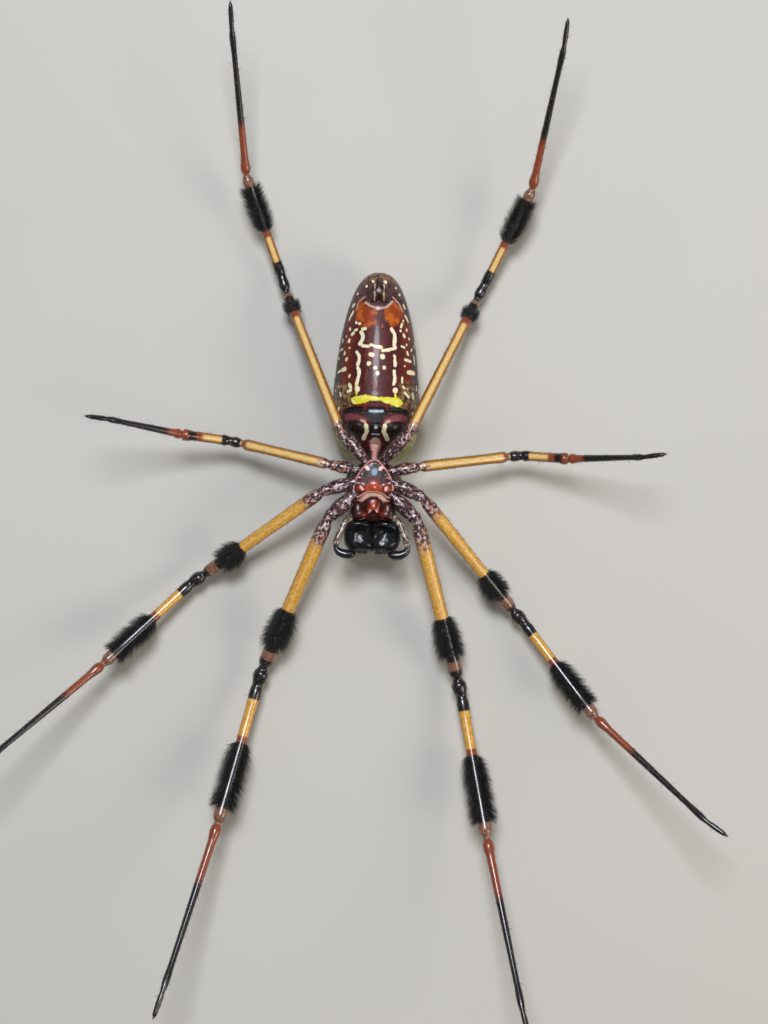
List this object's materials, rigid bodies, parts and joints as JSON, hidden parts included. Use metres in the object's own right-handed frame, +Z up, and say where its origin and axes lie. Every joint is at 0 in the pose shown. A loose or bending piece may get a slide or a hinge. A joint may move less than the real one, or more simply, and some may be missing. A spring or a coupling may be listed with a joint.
{
  "type": "golden silk orb weaver",
  "caption": "Life-size female golden silk orb weaver, belly up with legs spread as on its web; long spotted abdomen, slender golden legs with black brushes.",
  "frame": {"origin": "centre of the flat on the back of the abdomen, on which the spider rests", "axes": "+Y from the head to the tail of the abdomen, +X to the spider's right side, +Z up out of its belly; it lies on its back with the head toward -Y"},
  "size_m": [0.0885, 0.1192, 0.0152],
  "materials": {
    "abdomen": "satin, dark red brown mottled with cream and yellow",
    "carapace": "satin, dark under silvery hair",
    "prosoma_plates": "glossy, dark red chitin with a black middle",
    "jaw": "polished black chitin",
    "eye": "polished black",
    "palp": "satin, silvery brown with black ends",
    "spinnerets": "satin, dark brown with pale stripes",
    "leg": "satin, golden yellow with dark bands and dark ends",
    "bristle": "soft sheen, black bristles"
  },
  "bodies": {
    "root": {"abdomen": "abdomen", "pedicel": "prosoma_plates", "spinnerets": "spinnerets", "carapace": "carapace", "sternum": "prosoma_plates", "labium": "prosoma_plates", "endite_left": "prosoma_plates", "endite_right": "prosoma_plates", "chelicera_left": "jaw", "fang_left": "jaw", "palp_left": "palp", "palp_tarsus_left": "palp", "chelicera_right": "jaw", "fang_right": "jaw", "palp_right": "palp", "palp_tarsus_right": "palp", "eye_anterior_median_left": "eye", "eye_anterior_median_right": "eye", "eye_anterior_lateral_left": "eye", "eye_anterior_lateral_right": "eye", "eye_posterior_median_left": "eye", "eye_posterior_median_right": "eye", "eye_posterior_lateral_left": "eye", "eye_posterior_lateral_right": "eye", "leg_1_left_coxa": "leg", "leg_1_left_femur": "leg", "leg_1_left_tibia": "leg", "leg_1_left_metatarsus": "leg", "leg_1_right_coxa": "leg", "leg_1_right_femur": "leg", "leg_1_right_tibia": "leg", "leg_1_right_metatarsus": "leg", "leg_2_left_coxa": "leg", "leg_2_left_femur": "leg", "leg_2_left_tibia": "leg", "leg_2_left_metatarsus": "leg", "leg_2_right_coxa": "leg", "leg_2_right_femur": "leg", "leg_2_right_tibia": "leg", "leg_2_right_metatarsus": "leg", "leg_3_left_coxa": "leg", "leg_3_left_femur": "leg", "leg_3_left_tibia": "leg", "leg_3_left_metatarsus": "leg", "leg_3_right_coxa": "leg", "leg_3_right_femur": "leg", "leg_3_right_tibia": "leg", "leg_3_right_metatarsus": "leg", "leg_4_left_coxa": "leg", "leg_4_left_femur": "leg", "leg_4_left_tibia": "leg", "leg_4_left_metatarsus": "leg", "leg_4_right_coxa": "leg", "leg_4_right_femur": "leg", "leg_4_right_tibia": "leg", "leg_4_right_metatarsus": "leg"}
  },
  "joints": []
}
